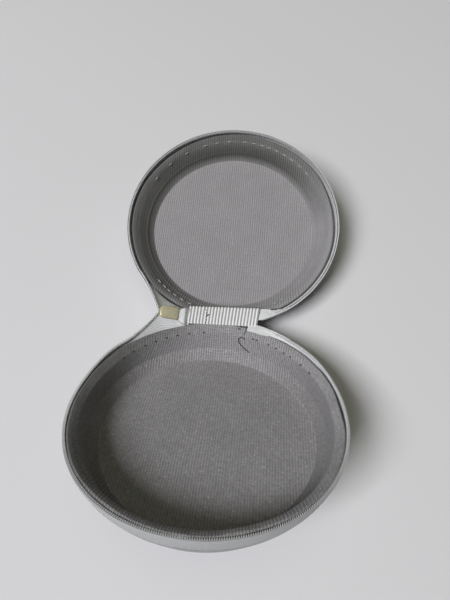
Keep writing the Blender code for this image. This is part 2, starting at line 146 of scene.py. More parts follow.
def zipPoint(angle, radius, height):
    turn = radians(angle)
    y = case["zipOffset"] + radius * cos(turn) - case["hingeReach"]
    return zipFrame @ Vector((-radius * sin(turn), y, height))


def roundLine(corners, radii, steps=6):
    # rounds the inner corners of a line of (radius, height) points
    line = [Vector(corners[0])]
    for before, corner, after, radius in zip(corners, corners[1:], corners[2:], radii):
        corner = Vector(corner)
        toBefore, toAfter = Vector(before) - corner, Vector(after) - corner
        longest = 0.45 * min(toBefore.length, toAfter.length)
        reach = min(radius / tan(toBefore.angle(toAfter) / 2), longest)
        start, end = corner + toBefore.normalized() * reach, corner + toAfter.normalized() * reach
        for i in range(steps + 1):
            share = i / steps
            line.append(start.lerp(corner, share).lerp(corner.lerp(end, share), share))
    return line + [Vector(corners[-1])]


def offsetLine(line, distance):
    moved = []
    for i, point in enumerate(line):
        along = line[min(i + 1, len(line) - 1)] - line[max(i - 1, 0)]
        moved.append(point + Vector((-along.y, along.x)).normalized() * distance)
    moved[-1].x = 0
    return moved


def withRings(line, radii, depth):
    # rings of points on a level floor, before the line's last point
    return line[:-1] + [Vector((radius, depth)) for radius in radii] + line[-1:]


def faceOut(bm):
    bmesh.ops.recalc_face_normals(bm, faces=bm.faces)


def spinCup(front, back, steps):
    # wall between two lines of (radius, depth) points, turned once round the half's own axis
    bm = bmesh.new()
    verts = [bm.verts.new((0, radius, -depth)) for radius, depth in front + back[::-1] + front[:1]]
    edges = [bm.edges.new(pair) for pair in zip(verts, verts[1:])]
    bmesh.ops.spin(bm, geom=verts + edges, cent=(0, 0, 0), axis=(0, 0, 1),
                   angle=2 * pi, steps=steps, use_merge=True)
    bmesh.ops.remove_doubles(bm, verts=bm.verts, dist=1e-4)
    loose = [edge for edge in bm.edges if not edge.link_faces]
    bmesh.ops.delete(bm, geom=loose, context="EDGES")
    faceOut(bm)
    return bm


def layGrid(columns, rows, placeOf, unitsU, unitsV):
    # grid with a UV map in mm, each point put in its place
    bm = bmesh.new()
    bmesh.ops.create_grid(bm, x_segments=columns, y_segments=rows, size=0.5)
    uvLayer = bm.loops.layers.uv.new("cloth")
    for vert in bm.verts:
        u, v = vert.co.x + 0.5, vert.co.y + 0.5
        for loop in vert.link_loops:
            loop[uvLayer].uv = (u * unitsU, v * unitsV)
        vert.co = placeOf(u, v)
    return bm


def sheetGrid(columns, rows, placeOf, thickness, unitsU, unitsV):
    # sheet of cloth with two sides
    bm = layGrid(columns, rows, placeOf, unitsU, unitsV)
    faceOut(bm)
    bmesh.ops.solidify(bm, geom=bm.faces[:], thickness=thickness * mm)
    faceOut(bm)
    return bm


def addObject(name, data):
    made = bpy.data.objects.new(name, data)
    scene.collection.objects.link(made)
    return made


def toMesh(name, bm):
    mesh = bpy.data.meshes.new(name)
    bm.to_mesh(mesh)
    bm.free()
    return mesh


def addMesh(name, mesh, look, body, stands):
    mesh.materials.clear()
    mesh.materials.append(looks[look])
    piece = addObject(name, mesh)
    if stands:
        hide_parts(*stands)
    if body:
        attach(piece, body)
    return piece


def finishPiece(name, bm, look, body=None, stands=(), sharp=55):
    mesh = toMesh(name, bm)
    mesh.shade_smooth()
    mesh.set_sharp_from_angle(angle=radians(sharp))
    return addMesh(name, mesh, look, body, stands)


def addWire(name, runs, radius, look, body=None, stands=(), sides=1):
    # thread or monofilament along runs of points, as a mesh
    curve = bpy.data.curves.new(name, "CURVE")
    curve.dimensions = "3D"
    curve.bevel_depth, curve.bevel_resolution = radius * mm, sides
    curve.use_fill_caps = True
    for run in runs:
        spline = curve.splines.new("POLY")
        spline.points.add(len(run) - 1)
        for point, place in zip(spline.points, run):
            point.co = (*place, 1)
    holder = addObject(name + "Line", curve)
    graph = bpy.context.evaluated_depsgraph_get()
    mesh = bpy.data.meshes.new_from_object(holder.evaluated_get(graph))
    mesh.name = name
    bpy.data.objects.remove(holder)
    mesh.shade_smooth()
    return addMesh(name, mesh, look, body, stands)


# materials: a socket's id_data is the node tree that it belongs to

socketNames = {"roughness": "Roughness", "specular": "Specular IOR Level", "sheen": "Sheen Weight",
               "sheenRoughness": "Sheen Roughness", "metallic": "Metallic"}


def startMaterial(name):
    material = bpy.data.materials.new(name)
    material.use_nodes = True
    return material


def feed(socket, value):
    if isinstance(value, bpy.types.NodeSocket):
        socket.id_data.links.new(value, socket)
    else:
        socket.default_value = value


def addNode(tree, kind, settings=None, **inputs):
    # inputs go by name, or by number as n0, n1 and so on
    node = tree.nodes.new("ShaderNode" + kind)
    for key, value in (settings or {}).items():
        setattr(node, key, value)
    for key, value in inputs.items():
        numbered = key[0] == "n" and key[1:].isdigit()
        feed(node.inputs[int(key[1:]) if numbered else key], value)
    return node


def surface(material, tone, relief=None, **settings):
    # relief: a height, its distance in mm and its strength
    tree = material.node_tree
    shader = tree.nodes["Principled BSDF"].inputs
    feed(shader["Base Color"], tone)
    for name, value in settings.items():
        feed(shader[socketNames[name]], value)
    if relief:
        height, distance, strength = relief
        node = addNode(tree, "Bump", Height=height, Distance=distance * mm, Strength=strength)
        feed(shader["Normal"], node.outputs[0])
    return material


def mathNode(operation, first, second=0):
    tree = (first if isinstance(first, bpy.types.NodeSocket) else second).id_data
    return addNode(tree, "Math", {"operation": operation}, n0=first, n1=second).outputs[0]


def times(first, second):
    return mathNode("MULTIPLY", first, second)


def inverse(value):
    return mathNode("SUBTRACT", 1, value)


def weighed(*pairs):
    # sum of values, each times its weight
    total = None
    for value, weight in pairs:
        term = times(value, weight)
        total = mathNode("ADD", total, term) if total else term
    return total


def mixColour(share, first, second, blend="MIX"):
    settings = {"data_type": "RGBA", "blend_type": blend}
    return addNode(first.id_data, "Mix", settings, n0=share, n6=first, n7=second).outputs[2]


def tinted(tone, by):
    return mixColour(1, tone, by, "MULTIPLY")


def ranged(value, low, high):
    return addNode(value.id_data, "MapRange", n0=value, n1=low, n2=high).outputs[0]


def attributeOf(material, name):
    return addNode(material.node_tree, "Attribute", {"attribute_name": name}).outputs["Fac"]


def uvMm(material):
    return addNode(material.node_tree, "TexCoord").outputs["UV"]


def objectMm(material, tilt=0):
    # object coordinates in mm, turned level with the half
    tree = material.node_tree
    place = addNode(tree, "TexCoord").outputs["Object"]
    return addNode(tree, "Mapping", Vector=place, Rotation=(tilt, 0, 0), Scale=(1000, 1000, 1000)).outputs[0]


def bands(place, direction, pitch, wobble):
    settings = {"wave_type": "BANDS", "bands_direction": direction}
    return addNode(place.id_data, "TexWave", settings, Vector=place, Scale=2 * pi / 20 / pitch, Distortion=wobble,
                   Detail=2, **{"Detail Scale": 1.5}).outputs["Fac"]


def fuzz(place, scale, detail=3, roughness=0.6):
    node = addNode(place.id_data, "TexNoise", Vector=place, Scale=scale, Detail=detail, Roughness=roughness)
    return node.outputs["Fac"]


def ramp(value, stops):
    node = addNode(value.id_data, "ValToRGB", n0=value)
    marks = node.color_ramp.elements
    while len(marks) < len(stops):
        marks.new(0.5)
    for mark, (place, tone) in zip(marks, stops):
        mark.position = place
        mark.color = (*(tone if isinstance(tone, tuple) else (tone,) * 3), 1)
    return node.outputs["Color"]


# pitches in mm, tones from the gaps to the tops of the loops
knitLook = {
    "base": {"wale": 1.02, "course": 0.78, "tones": (0.205, 0.275, 0.39), "speck": 0.66, "lint": 0.65,
             "mottle": (0.84, 1.14)},
    "lid": {"wale": 1.06, "course": 0.8, "tones": (0.215, 0.295, 0.4), "speck": 0.46, "lint": 0.3,
            "mottle": (0.93, 1.06)},
    "lintTone": (0.62, 0.62, 0.62, 1),
    # tones of the painted shade on walls and lips, a little olive half way
    "paintedShadeTones": [(0, (1, 0.98, 1)), (0.5, (0.5, 0.5, 0.475)), (1, 0)],
}


def knitCloth(half):
    # wales run from hinge to front; painted shade, kept in the stretch attribute, darkens the walls and lips
    look, floor, material = knitLook[half], halves[half]["floor"], startMaterial(half + "Knit")
    place, tree = objectMm(material, halves[half]["tilt"]), material.node_tree
    stretch, flatX, flatY = (attributeOf(material, name) for name in ("stretch", "flatX", "flatY"))
    flat = addNode(tree, "CombineXYZ", X=flatX, Y=flatY).outputs[0]
    reach = addNode(tree, "VectorMath", {"operation": "LENGTH"}, n0=flat).outputs["Value"]
    wall = ranged(reach, floor - 0.3, floor + 0.5)

    # the wales fade on the side walls, where they run level
    sideways = mathNode("DIVIDE", mathNode("ABSOLUTE", flatX), reach)
    across = inverse(times(wall, ramp(sideways, [(0.66, 0), (0.9, 0.9)])))
    wales = weighed((bands(flat, "X", look["wale"], 1.3), across), (inverse(across), 0.5))
    slack = ramp(stretch, [(0, 1), (0.12, 0)])
    courses = times(bands(flat, "Y", look["course"], 1.6), slack)
    loops = weighed((courses, 0.25), (wales, 0.75))
    speck = times(inverse(times(wall, 0.55)), look["speck"])
    mixed = weighed((fuzz(place, 2.2, 4, 0.7), speck), (loops, inverse(speck)))

    tone = ramp(mixed, list(zip((0.18, 0.5, 0.82), look["tones"])))
    lint = ramp(fuzz(place, 0.75, 5, 0.85), [(0.58, 0), (0.68, look["lint"])])
    tone = mixColour(lint, tone, knitLook["lintTone"])
    blotch = ramp(fuzz(place, 0.11, 2, 0.5), [(0.3, 0.93), (0.7, 1)])
    mottle = ramp(fuzz(place, 0.9, 3, 0.65), list(zip((0.32, 0.68), look["mottle"])))
    # the last of these is the painted shade on walls and lips
    for shade in (blotch, mottle, ramp(stretch, knitLook["paintedShadeTones"])):
        tone = tinted(tone, shade)
    return surface(material, tone, (mixed, 0.22, 0.55), roughness=0.95, specular=0.12, sheen=0.1, sheenRoughness=0.6)


def coverCloth(name, tilt):
    # fine plain weave, the same way up all over the moulded shell
    material = startMaterial(name)
    place = objectMm(material, tilt)
    weave = times(bands(place, "X", 0.55, 0.4), bands(place, "Y", 0.55, 0.4))
    mixed = weighed((weave, 0.6), (fuzz(place, 1.6), 0.4))
    tone = ramp(mixed, [(0.15, (0.265, 0.275, 0.275)), (0.75, (0.38, 0.395, 0.39))])
    return surface(material, tone, (mixed, 0.12, 0.5), roughness=0.82, specular=0.25, sheen=0.1)


# painted shade: the zip is made greyer away from the hinge, most at the base's front
zipShade = {"reach": 80, "base": 0.56, "lid": 0.74}


def zipShadeTone(material):
    along = addNode(material.node_tree, "SeparateXYZ", Vector=objectMm(material)).outputs["Y"]
    reach = ranged(along, -zipShade["reach"], zipShade["reach"])
    return ramp(reach, [(0, zipShade["base"]), (0.3, 1), (0.75, 1), (1, zipShade["lid"])])


def tapeCloth(name, dark, light):
    # woven zip tape: fine ribs along the tape and a cross weave
    material = startMaterial(name)
    place = uvMm(material)
    ribs, picks = bands(place, "Y", 0.62, 0.3), bands(place, "X", 0.45, 0.5)
    mixed = weighed((ribs, 0.55), (picks, 0.25), (fuzz(place, 0.35), 0.3))
    # painted shade away from the hinge
    tone = tinted(ramp(mixed, [(0.2, dark), (0.85, light)]), zipShadeTone(material))
    return surface(material, tone, (mixed, 0.1, 0.45), roughness=0.8, specular=0.25, sheen=0.08)


def nylonCoil():
    material = startMaterial("coilNylon")
    place = objectMm(material)
    tone = ramp(fuzz(place, 0.6), [(0.3, (0.58, 0.6, 0.595)), (0.7, (0.74, 0.76, 0.755))])
    # painted shade away from the hinge, as on the tape
    return surface(material, tinted(tone, zipShadeTone(material)), (fuzz(place, 3), 0.03, 0.3), roughness=0.42)


def ribbonCloth():
    # white ribs with grey between them; the grey, set by the rib height, is painted shade in the grooves
    material = startMaterial("ribbonWeave")
    place = uvMm(material)
    threads = bands(place, "Y", 0.42, 0.5)
    mixed = weighed((threads, 0.18), (fuzz(place, 0.5), 0.22), (attributeOf(material, "rib"), 0.6))
    tone = ramp(mixed, [(0.18, (0.3, 0.305, 0.305)), (0.52, (0.7, 0.705, 0.705)), (0.75, (0.9, 0.9, 0.895))])
    return surface(material, tone, (threads, 0.06, 0.4), roughness=0.7, specular=0.3)


def threadLook(name, tone, inTape=False):
    material = startMaterial(name)
    lay = bands(objectMm(material), "DIAGONAL", 0.35, 0.5)
    twist = ramp(lay, [(0.2, tone * 0.7), (0.8, tone * 1.2)])
    # thread in the tape takes the zip's painted shade
    return surface(material, tinted(twist, zipShadeTone(material)) if inTape else twist, roughness=0.75)


def sliderMetal():
    material = startMaterial("sliderPlating")
    place = objectMm(material)
    tone = ramp(fuzz(place, 0.9, 4), [(0.3, (0.46, 0.43, 0.28)), (0.7, (0.56, 0.525, 0.36))])
    rubbed = ramp(fuzz(place, 2.5, 5), [(0.3, 0.34), (0.7, 0.5)])
    return surface(material, tone, (fuzz(place, 6, 4), 0.02, 0.25), metallic=0.45, roughness=rubbed)


def foamLook():
    material = startMaterial("mouldedFoam")
    node = addNode(material.node_tree, "TexVoronoi", Vector=objectMm(material), Scale=2.5)
    cells = node.outputs["Distance"]
    return surface(material, ramp(cells, [(0, 0.06), (0.6, 0.11)]), (cells, 0.1, 0.5), roughness=0.95)


looks = {
    "baseKnit": knitCloth("base"), "lidKnit": knitCloth("lid"),
    "baseCover": coverCloth("baseCoverWeave", halves["base"]["tilt"]),
    "lidCover": coverCloth("lidCoverWeave", halves["lid"]["tilt"]),
    "webCloth": coverCloth("webWeave", 0),
    "tape": tapeCloth("zipTapeWeave", (0.6, 0.615, 0.615), (0.84, 0.855, 0.855)),
    # a lighter copy of the tape with painted light, for the lid's tape mouth and the zip's tail, which lie in shade
    "paintedLitTape": tapeCloth("paintedLitTapeWeave", (0.7, 0.71, 0.71), (0.9, 0.91, 0.91)),
    "coil": nylonCoil(), "ribbon": ribbonCloth(), "metal": sliderMetal(), "foam": foamLook(),
    "darkThread": threadLook("darkThread", 0.05), "lightThread": threadLook("lightThread", 0.5),
    "tapeThread": threadLook("tapeThread", 0.66, True),
}
print("materials made:", len(looks))

# moulded shells: cover cloth, foam and knit lining

lip = {
    # stretch: amounts of painted shade on the far, left and right walls and on the lips
    "base": {"outer": 48.45, "crown": 1.6, "rise": 0.35, "floorCorner": 0.9,
             "wall": [(46.25, 2.5), (44.9, 3.6), (44.7, 4.6), (44, 12.2)],
             "stretch": {"far": 0.52, "left": 0.06, "right": 0.18, "lip": 0.42, "farLip": 0.18}},
    "lid": {"outer": 48.15, "crown": 2.1, "rise": 0.8, "floorCorner": 0.4,
            "wall": [(46, 3.15), (44.95, 4.4), (43.6, 6.4), (42.25, 8.2), (41.55, 8.85), (41.1, 9.8)],
            "stretch": {"far": 0.72, "left": 0.48, "right": 0, "lip": 0.44, "farLip": 0.48}},
    # the roll's foot, then its points from the outer edge and the crown
    "foot": (0.8, 5.2), "roll": ((0, 2.3), (-0.05, 0.7), (-0.75, 0)),
    "rollRadii": [0.6, 0.9, 0.9], "wallRadius": 1.2,
    # where the lip leans: middle and reach in degrees, then outward and upward in mm
    "lean": {"base": [(-84, 13, -0.55, 0), (148, 24, -0.4, 0), (-156, 18, -0.5, 0), (176, 10, 0.1, 0.25)],
             "lid": [(42, 14, 0.6, 1.3), (132, 26, -0.5, 0), (-100, 26, -0.4, 0)]},
}
lining = {
    "thick": 0.45, "drawn": 0.6, "floorRings": (33, 26, 18, 10, 4), "reach": 44,
    "lipDeep": 5.3, "lip": (44.4, 1.2), "crown": (44.8, 1.5), "hinge": (17.5, -5), "wall": (3.6, 1.2), "deeper": (4, 5),
    "sway": 0.14, "ripple": 0.2, "frontRipple": 0.22, "wallWave": 0.12, "wallSway": 0.1, "floorWave": 0.07,
    "seed": {"base": 3, "lid": 8},
}
cover = {"rim": (0.1, 5.4), "fillets": [5, 6.6], "thick": 0.55, "floorRings": (34, 24, 12),
         "dent": 0.12, "dentGrain": 0.06, "dentDeep": -10, "dentReach": 38}
foam = {
    # gaps to the cloth at two corners, outward and down, then the corners' radii
    "inside": (((0.75, 0.3), (0.5, 0.8)), [2.6, 2.6]), "outside": (((-0.9, 0), (-0.7, -0.9)), [4, 4.6]),
    "top": 5.3, "steps": 96,
}
shellSteps = 180


def liningLine(half):
    # from under the soft roll of the lip, over it and down to the middle of the floor
    part, edge = halves[half], lip[half]
    roll = [(edge["outer"] + out, edge["crown"] + deep) for out, deep in lip["roll"]]
    corners = [(edge["outer"] - lip["foot"][0], lip["foot"][1]), *roll, *edge["wall"],
               (part["floor"], part["depth"]), (0, part["depth"])]
    radii = lip["rollRadii"] + [lip["wallRadius"]] * len(edge["wall"]) + [edge["floorCorner"]]
    return withRings(roundLine(corners, radii), lining["floorRings"], part["depth"])


def layKnit(bm, half, line):
    # flat place of each point of the knit in mm: level on the floor, drawn out up the wall
    floor, reach, places = halves[half]["floor"], 0, [(line[-1], 0)]
    for before, after in zip(line[::-1], line[-2::-1]):
        reach += (after - before).length
        places.append((after, reach))
    flatX, flatY = bm.verts.layers.float.new("flatX"), bm.verts.layers.float.new("flatY")
    known = {}
    for vert in bm.verts:
        here = Vector((hypot(vert.co.x, vert.co.y), -vert.co.z))
        key = (round(here.x, 3), round(here.y, 3))
        if key not in known:
            reach = min(places, key=lambda place: (place[0] - here).length)[1]
            known[key] = min(reach, floor) + max(0, reach - floor) * lining["drawn"]
        wider = known[key] / here.x if here.x > 0.01 else 1
        vert[flatX], vert[flatY] = vert.co.x * wider, vert.co.y * wider


def ringNoise(turn, grain, height):
    return uneven(cos(turn) * grain, sin(turn) * grain, height)


def shapeLining(bm, half):
    # the lips rise under the ribbon, where no zip parts them, and the knit is never quite smooth
    part, pull, seed = halves[half], lip[half]["stretch"], lining["seed"][half]
    stretch, wide = bm.verts.layers.float.new("stretch"), lining["reach"]
    for vert in bm.verts:
        co = vert.co
        radius, depth = hypot(co.x, co.y), -co.z
        turn, fromHinge = atan2(co.y, co.x), co.y * part["side"]
        angle, far = degrees(atan2(-co.x, fromHinge)), smooth(-fromHinge / wide)
        slow, brisk = ringNoise(turn, 2.2, seed), ringNoise(turn, 9, seed + radius * 0.2)
        quick = uneven(co.x * 0.12, co.y * 0.12, depth * 0.15 + seed)

        # the lip: ripples, leans and its rise by the hinge
        inLip = depth < lining["lipDeep"]
        onLip = rise(radius, lining["lip"]) if inLip else 0
        ripple = lining["ripple"] + lining["frontRipple"] * far
        co.z += onLip * (slow * lining["sway"] + brisk * ripple)
        for middle, reach, outward, upward in lip["lean"][half]:
            lean = onLip * bump(angle, middle, reach)
            level = Vector((co.x, co.y, 0)).normalized()
            co += level * outward * lean + Vector((0, 0, upward * lean))
        nearHinge = rise(abs(co.x), lining["hinge"]) if fromHinge > 20 else 0
        co.z += lip[half]["rise"] * nearHinge * rise(radius, lining["crown"]) if inLip else 0

        # painted shade on the wall and on the lip, kept in the stretch attribute: most on the far and left sides, and
        # deeper down the wall
        onWall = rise(depth, lining["wall"]) * rise(depth, (part["depth"] - 0.05, -0.3))
        left, right = smooth(-co.x / wide), smooth(co.x / wide)
        wallShade = pull["far"] * far + (pull["left"] * left + pull["right"] * right) * (1 - far)
        wallShade *= 0.72 + 0.28 * rise(depth, lining["deeper"])
        lipShade = onLip * (1 - onWall) * max(pull["farLip"] * far, pull["lip"] * left)
        vert[stretch] = max(onWall * wallShade, lipShade)

        # slight waves in wall and floor
        wave = quick * lining["wallWave"] + slow * lining["wallSway"]
        fuller = 1 + onWall * wave / wide
        co.x *= fuller
        co.y *= fuller
        if depth > part["depth"] - 0.2:
            co.z += quick * lining["floorWave"]


def finishShell(half, kind, bm, look):
    swellShell(bm, half)
    bmesh.ops.transform(bm, matrix=halves[half]["frame"], verts=bm.verts)
    slotName = kind.lower()
    return finishPiece(half + kind, bm, look, half, [half + "_" + slotName])


def buildLining(half):
    inner = liningLine(half)
    outer = offsetLine(inner, -lining["thick"])
    bm = spinCup(inner, outer, shellSteps)
    layKnit(bm, half, inner)
    shapeLining(bm, half)
    finishShell(half, "Lining", bm, half + "Knit")


def buildCover(half):
    part = halves[half]
    bottom = part["bottom"][1]
    corners = [(case["rimRadius"] - cover["rim"][0], cover["rim"][1]), part["taper"], part["bottom"], (0, bottom)]
    skin = withRings(roundLine(corners, cover["fillets"], 8), cover["floorRings"], bottom)
    under = offsetLine(skin, cover["thick"])
    bm = spinCup(under, skin, shellSteps)
    for vert in bm.verts:
        if vert.co.z < cover["dentDeep"] and hypot(vert.co.x, vert.co.y) < cover["dentReach"]:
            dent = noise.noise(vert.co * cover["dentGrain"] + Vector((0, 0, part["depth"])))
            vert.co.z += cover["dent"] * abs(dent)
    finishShell(half, "Cover", bm, half + "Cover")


def foamLine(rim, corners, gaps, radii):
    line = [(radius + out, depth + down) for (radius, depth), (out, down) in zip(corners, gaps)]
    return roundLine([(rim + gaps[0][0], foam["top"]), *line, (0, line[-1][1])], radii)


def buildFoam(half):
    part, rim = halves[half], case["rimRadius"]
    inside = foamLine(rim - case["wall"], (part["shoulder"], (part["floor"], part["depth"])), *foam["inside"])
    outside = foamLine(rim, (part["taper"], part["bottom"]), *foam["outside"])
    piece = finishShell(half, "Foam", spinCup(inside, outside, foam["steps"]), "foam")


for half in halves:
    buildLining(half)
    buildCover(half)
    buildFoam(half)
print("shells made")

# zip tapes and coils

zipper = {
    "tapeTop": 0.8, "tapeBend": 2.3, "tapeBottom": 7.7, "sewnTo": 48.5, "edgeInset": 0.1, "foldShare": 0.75,
    "thick": 0.35, "wide": 7.5, "mapRadius": 50, "sway": 0.0001, "softStart": 54,
    "sag": 1.1, "sagIn": (58, 25), "sagOut": (312, -25),
    "coilPitch": 0.7, "coilMid": 49, "coilThick": 0.26, "coilDepth": 1.15, "coilTall": 0.5, "coilShort": 0.5,
    "wire": 0.22, "turnSteps": 8,
}


def sagAt(half, angle):
    # the base's zip hangs a little low all round the front
    if half == "lid":
        return 0
    return zipper["sag"] * rise(angle, zipper["sagIn"]) * rise(angle, zipper["sagOut"])


def tapeSection(half, angle):
    # bottom to top of the tape at one angle round the half
    sag, radius = sagAt(half, angle), case["zipRadius"] - zipper["edgeInset"]
    low = ringPoint(half, angle, zipper["sewnTo"], zipper["tapeBottom"])
    bend = ringPoint(half, angle, radius, zipper["tapeBend"] + sag, case["zipOffset"])
    top = ringPoint(half, angle, radius, zipper["tapeTop"] + sag, case["zipOffset"])
    return low, bend, top


def alongSection(section, share):
    low, bend, top = section
    fold = zipper["foldShare"]
    return low.lerp(bend, share / fold) if share < fold else bend.lerp(top, (share - fold) / (1 - fold))


def buildTape(half):
    first, last = zipper["softStart"], case["zipEnd"]

    def placeOf(u, v):
        angle = between(first, last, u)
        point = alongSection(tapeSection(half, angle), v)
        sway = uneven(angle * 0.12, v * 2, halves[half]["side"] * 5)
        return point + (point - inHalf(half, 0, 0, 0)).normalized() * sway * zipper["sway"]

    length = radians(last - first) * zipper["mapRadius"]
    bm = sheetGrid(220, 8, placeOf, zipper["thick"], length, zipper["wide"])
    finishPiece(half + "ZipTape", bm, "tape", half, [half + "_zip_tape"])


def addCoil(name, pointAt, length, body=None, stands=()):
    # turns of monofilament along a path; pointAt gives (middle, outward, upward) at a distance in mm
    steps = int(length / zipper["coilPitch"]) * zipper["turnSteps"]
    run = []
    for i in range(steps + 1):
        phase = i * 2 * pi / zipper["turnSteps"]
        middle, outward, upward = pointAt(length * i / steps)
        run.append(middle + outward * zipper["coilThick"] * cos(phase) * mm
                   + upward * zipper["coilTall"] * sin(phase) * mm)
    return addWire(name, [run], zipper["wire"], "coil", body, stands)


def buildCoil(half):
    first, last = zipper["softStart"], case["zipEnd"] - zipper["coilShort"]
    length = radians(last - first) * case["zipRadius"]

    def pointAt(distance):
        angle = first + degrees(distance / case["zipRadius"])
        depth = zipper["coilDepth"] + sagAt(half, angle)
        middle = ringPoint(half, angle, zipper["coilMid"], depth, case["zipOffset"])
        outer = ringPoint(half, angle, zipper["coilMid"] + 1, depth, case["zipOffset"])
        return middle, (outer - middle).normalized(), halves[half]["up"]

    addCoil(half + "ZipCoil", pointAt, length, half, [half + "_zip_coil"])


for half in halves:
    buildTape(half)
    buildCoil(half)
print("zip made")

# soft stretches of tape from the shells to the slider and on to the ribbon

tail = {"first": 16.4, "last": 24.4, "middle": 49.25, "drop": 1.5, "dip": (19.9, -2.5), "flapEnd": 18.4,
        "halfWide": 2.1, "widen": 1.5, "widening": (24.4, -5.5), "edgeLift": 0.35,
        "thin": 0.45, "thicken": 0.4, "thickening": (16.4, 4), "crease": 0.12}
soft = {
    # where the tape folds over towards the slider: radius and depth
    "brow": {"base": (48.75, 2.9), "lid": (49, 1.2)}, "tucked": 48.72, "browShare": 0.4, "blur": 0.06,
    # the lid's mouth takes the tape's lighter copy with painted light
    "look": {"base": "tape", "lid": "paintedLitTape"}, "lead": 9, "mouthInset": 0.2, "spread": 0.9,
    "lowEnd": 31, "mouthShare": 0.6, "length": 37, "coilShort": 0.5, "coilIn": (0.0004, 0.0007),
}


def tailRadius(angle):
    # the joined end dips under the ribbon
    return tail["middle"] + tail["drop"] * rise(angle, tail["dip"])


def tailHalfWidth(angle):
    return tail["halfWide"] + tail["widen"] * rise(angle, tail["widening"])


def softEdge(half, share):
    # top edge of the tape: off the half's zip circle and straight to the slider's mouth
    share = min(1, max(0, share))
    start = tapeSection(half, zipper["softStart"])[2]
    lead = tapeSection(half, zipper["softStart"] - soft["lead"])[2]
    height = soft["spread"] * -halves[half]["side"]
    mouth = zipPoint(case["sliderMouth"], case["zipRadius"] - soft["mouthInset"], height)
    return start.lerp(lead, share).lerp(lead.lerp(mouth, share), share)


def folded(low, brow, edge, share):
    # up the shell's side, then over towards the slider
    turn = soft["browShare"]

    def along(place):
        place = min(1, max(0, place))
        return low.lerp(brow, place / turn) if place < turn else brow.lerp(edge, (place - turn) / (1 - turn))

    return (along(share - soft["blur"]) + along(share) * 2 + along(share + soft["blur"])) / 4


def softTape(half):
    browRadius, browDepth = soft["brow"][half]

    def lowAngle(share):
        return between(zipper["softStart"], soft["lowEnd"], share)

    def placeOf(u, v):
        split = soft["mouthShare"]
        if u < split:
            # from the shell to the slider's mouth
            u /= split
            angle = lowAngle(u)
            low, bend, _ = tapeSection(half, angle)
            edge, brow = softEdge(half, u), ringPoint(half, angle, browRadius, browDepth)
            upright, over = alongSection((low, bend, edge), v), folded(low, brow, edge, v)
            return upright.lerp(over, smooth(u * 1.7))
        # past the slider to the ribbon
        u = (u - split) / (1 - split)
        angle = between(soft["lowEnd"], tail["flapEnd"], u)
        tucked = between(browRadius, soft["tucked"], smooth(u * 1.6))
        low, brow = tapeSection(half, angle)[0], ringPoint(half, angle, tucked, browDepth)
        chainAngle = between(case["sliderMouth"], tail["flapEnd"], u)
        spread = between(soft["spread"], tailHalfWidth(chainAngle), smooth(u * 2))
        edge = zipPoint(chainAngle, tailRadius(chainAngle) + tail["edgeLift"], -halves[half]["side"] * spread)
        return folded(low, brow, edge, v)

    bm = sheetGrid(70, 16, placeOf, zipper["thick"], soft["length"], zipper["wide"])
    mouth = finishPiece(half + "TapeMouth", bm, soft["look"][half])

    steps = [softEdge(half, i / 20) for i in range(21)]
    length = sum((after - before).length for before, after in zip(steps, steps[1:])) * 1000 - soft["coilShort"]

    def pointAt(distance):
        share = distance / length
        edge, low = softEdge(half, share), tapeSection(half, lowAngle(share))[0]
        upward = (edge - low).normalized()
        run = (softEdge(half, share + 0.02) - softEdge(half, share - 0.02)).normalized()
        outward = run.cross(upward).normalized()
        if outward.dot(low - inHalf(half, 0, 0, 0)) < 0:
            outward = -outward
        return edge - upward * soft["coilIn"][0] - outward * soft["coilIn"][1], outward, upward

    lead = addCoil(half + "CoilLead", pointAt, length)
    if half == "base":
        begin, finish = inHalf(half, -38, 0, -0.8), inHalf(half, -36, 0, 3.9)
        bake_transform(mouth)
        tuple(begin)
        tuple(finish)
        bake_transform(lead)
        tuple(begin)
        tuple(finish)
    else:
        begin, finish = inHalf(half, -31.65, 0, 17.5), inHalf(half, -39, 0, -0.8)
        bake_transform(mouth)
        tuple(begin)
        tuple(finish)
        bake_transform(lead)
        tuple(begin)
        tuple(finish)


def squared(value, power):
    # keeps the sign; a power under 1 makes a round form fuller
    return copysign(abs(value) ** power, value)


def buildTail():
    # joined end of the zip in a fold of tape, flat where it goes under the ribbon
    def placeOf(u, v):
        angle, turn = between(tail["first"], tail["last"], v), 2 * pi * u
        closing = min(1, 12 * min(v, 1 - v))
        thick = tail["thin"] + tail["thicken"] * rise(angle, tail["thickening"])
        wide = squared(cos(turn), 0.6) * tailHalfWidth(angle) * (0.9 + 0.1 * closing)
        tall = squared(sin(turn), 0.7) * (thick * sqrt(closing))
        crease = tail["crease"] * uneven(wide * 0.9, angle * 0.8, 1)
        return zipPoint(angle, tailRadius(angle) + tall + crease * closing, wide * min(1, closing * 4))

    bm = layGrid(36, 30, placeOf, 14, 7)
    bmesh.ops.remove_doubles(bm, verts=bm.verts, dist=2e-6)
    faceOut(bm)
    # the tail takes the tape's lighter copy with painted light
    finishPiece("zipTail", bm, "paintedLitTape", "zip_end", ["zip_chain_end"])


for half in halves:
    softTape(half)
buildTail()
print("soft tape made")

# ribbed ribbon over the hinge, and the slack cloth under it

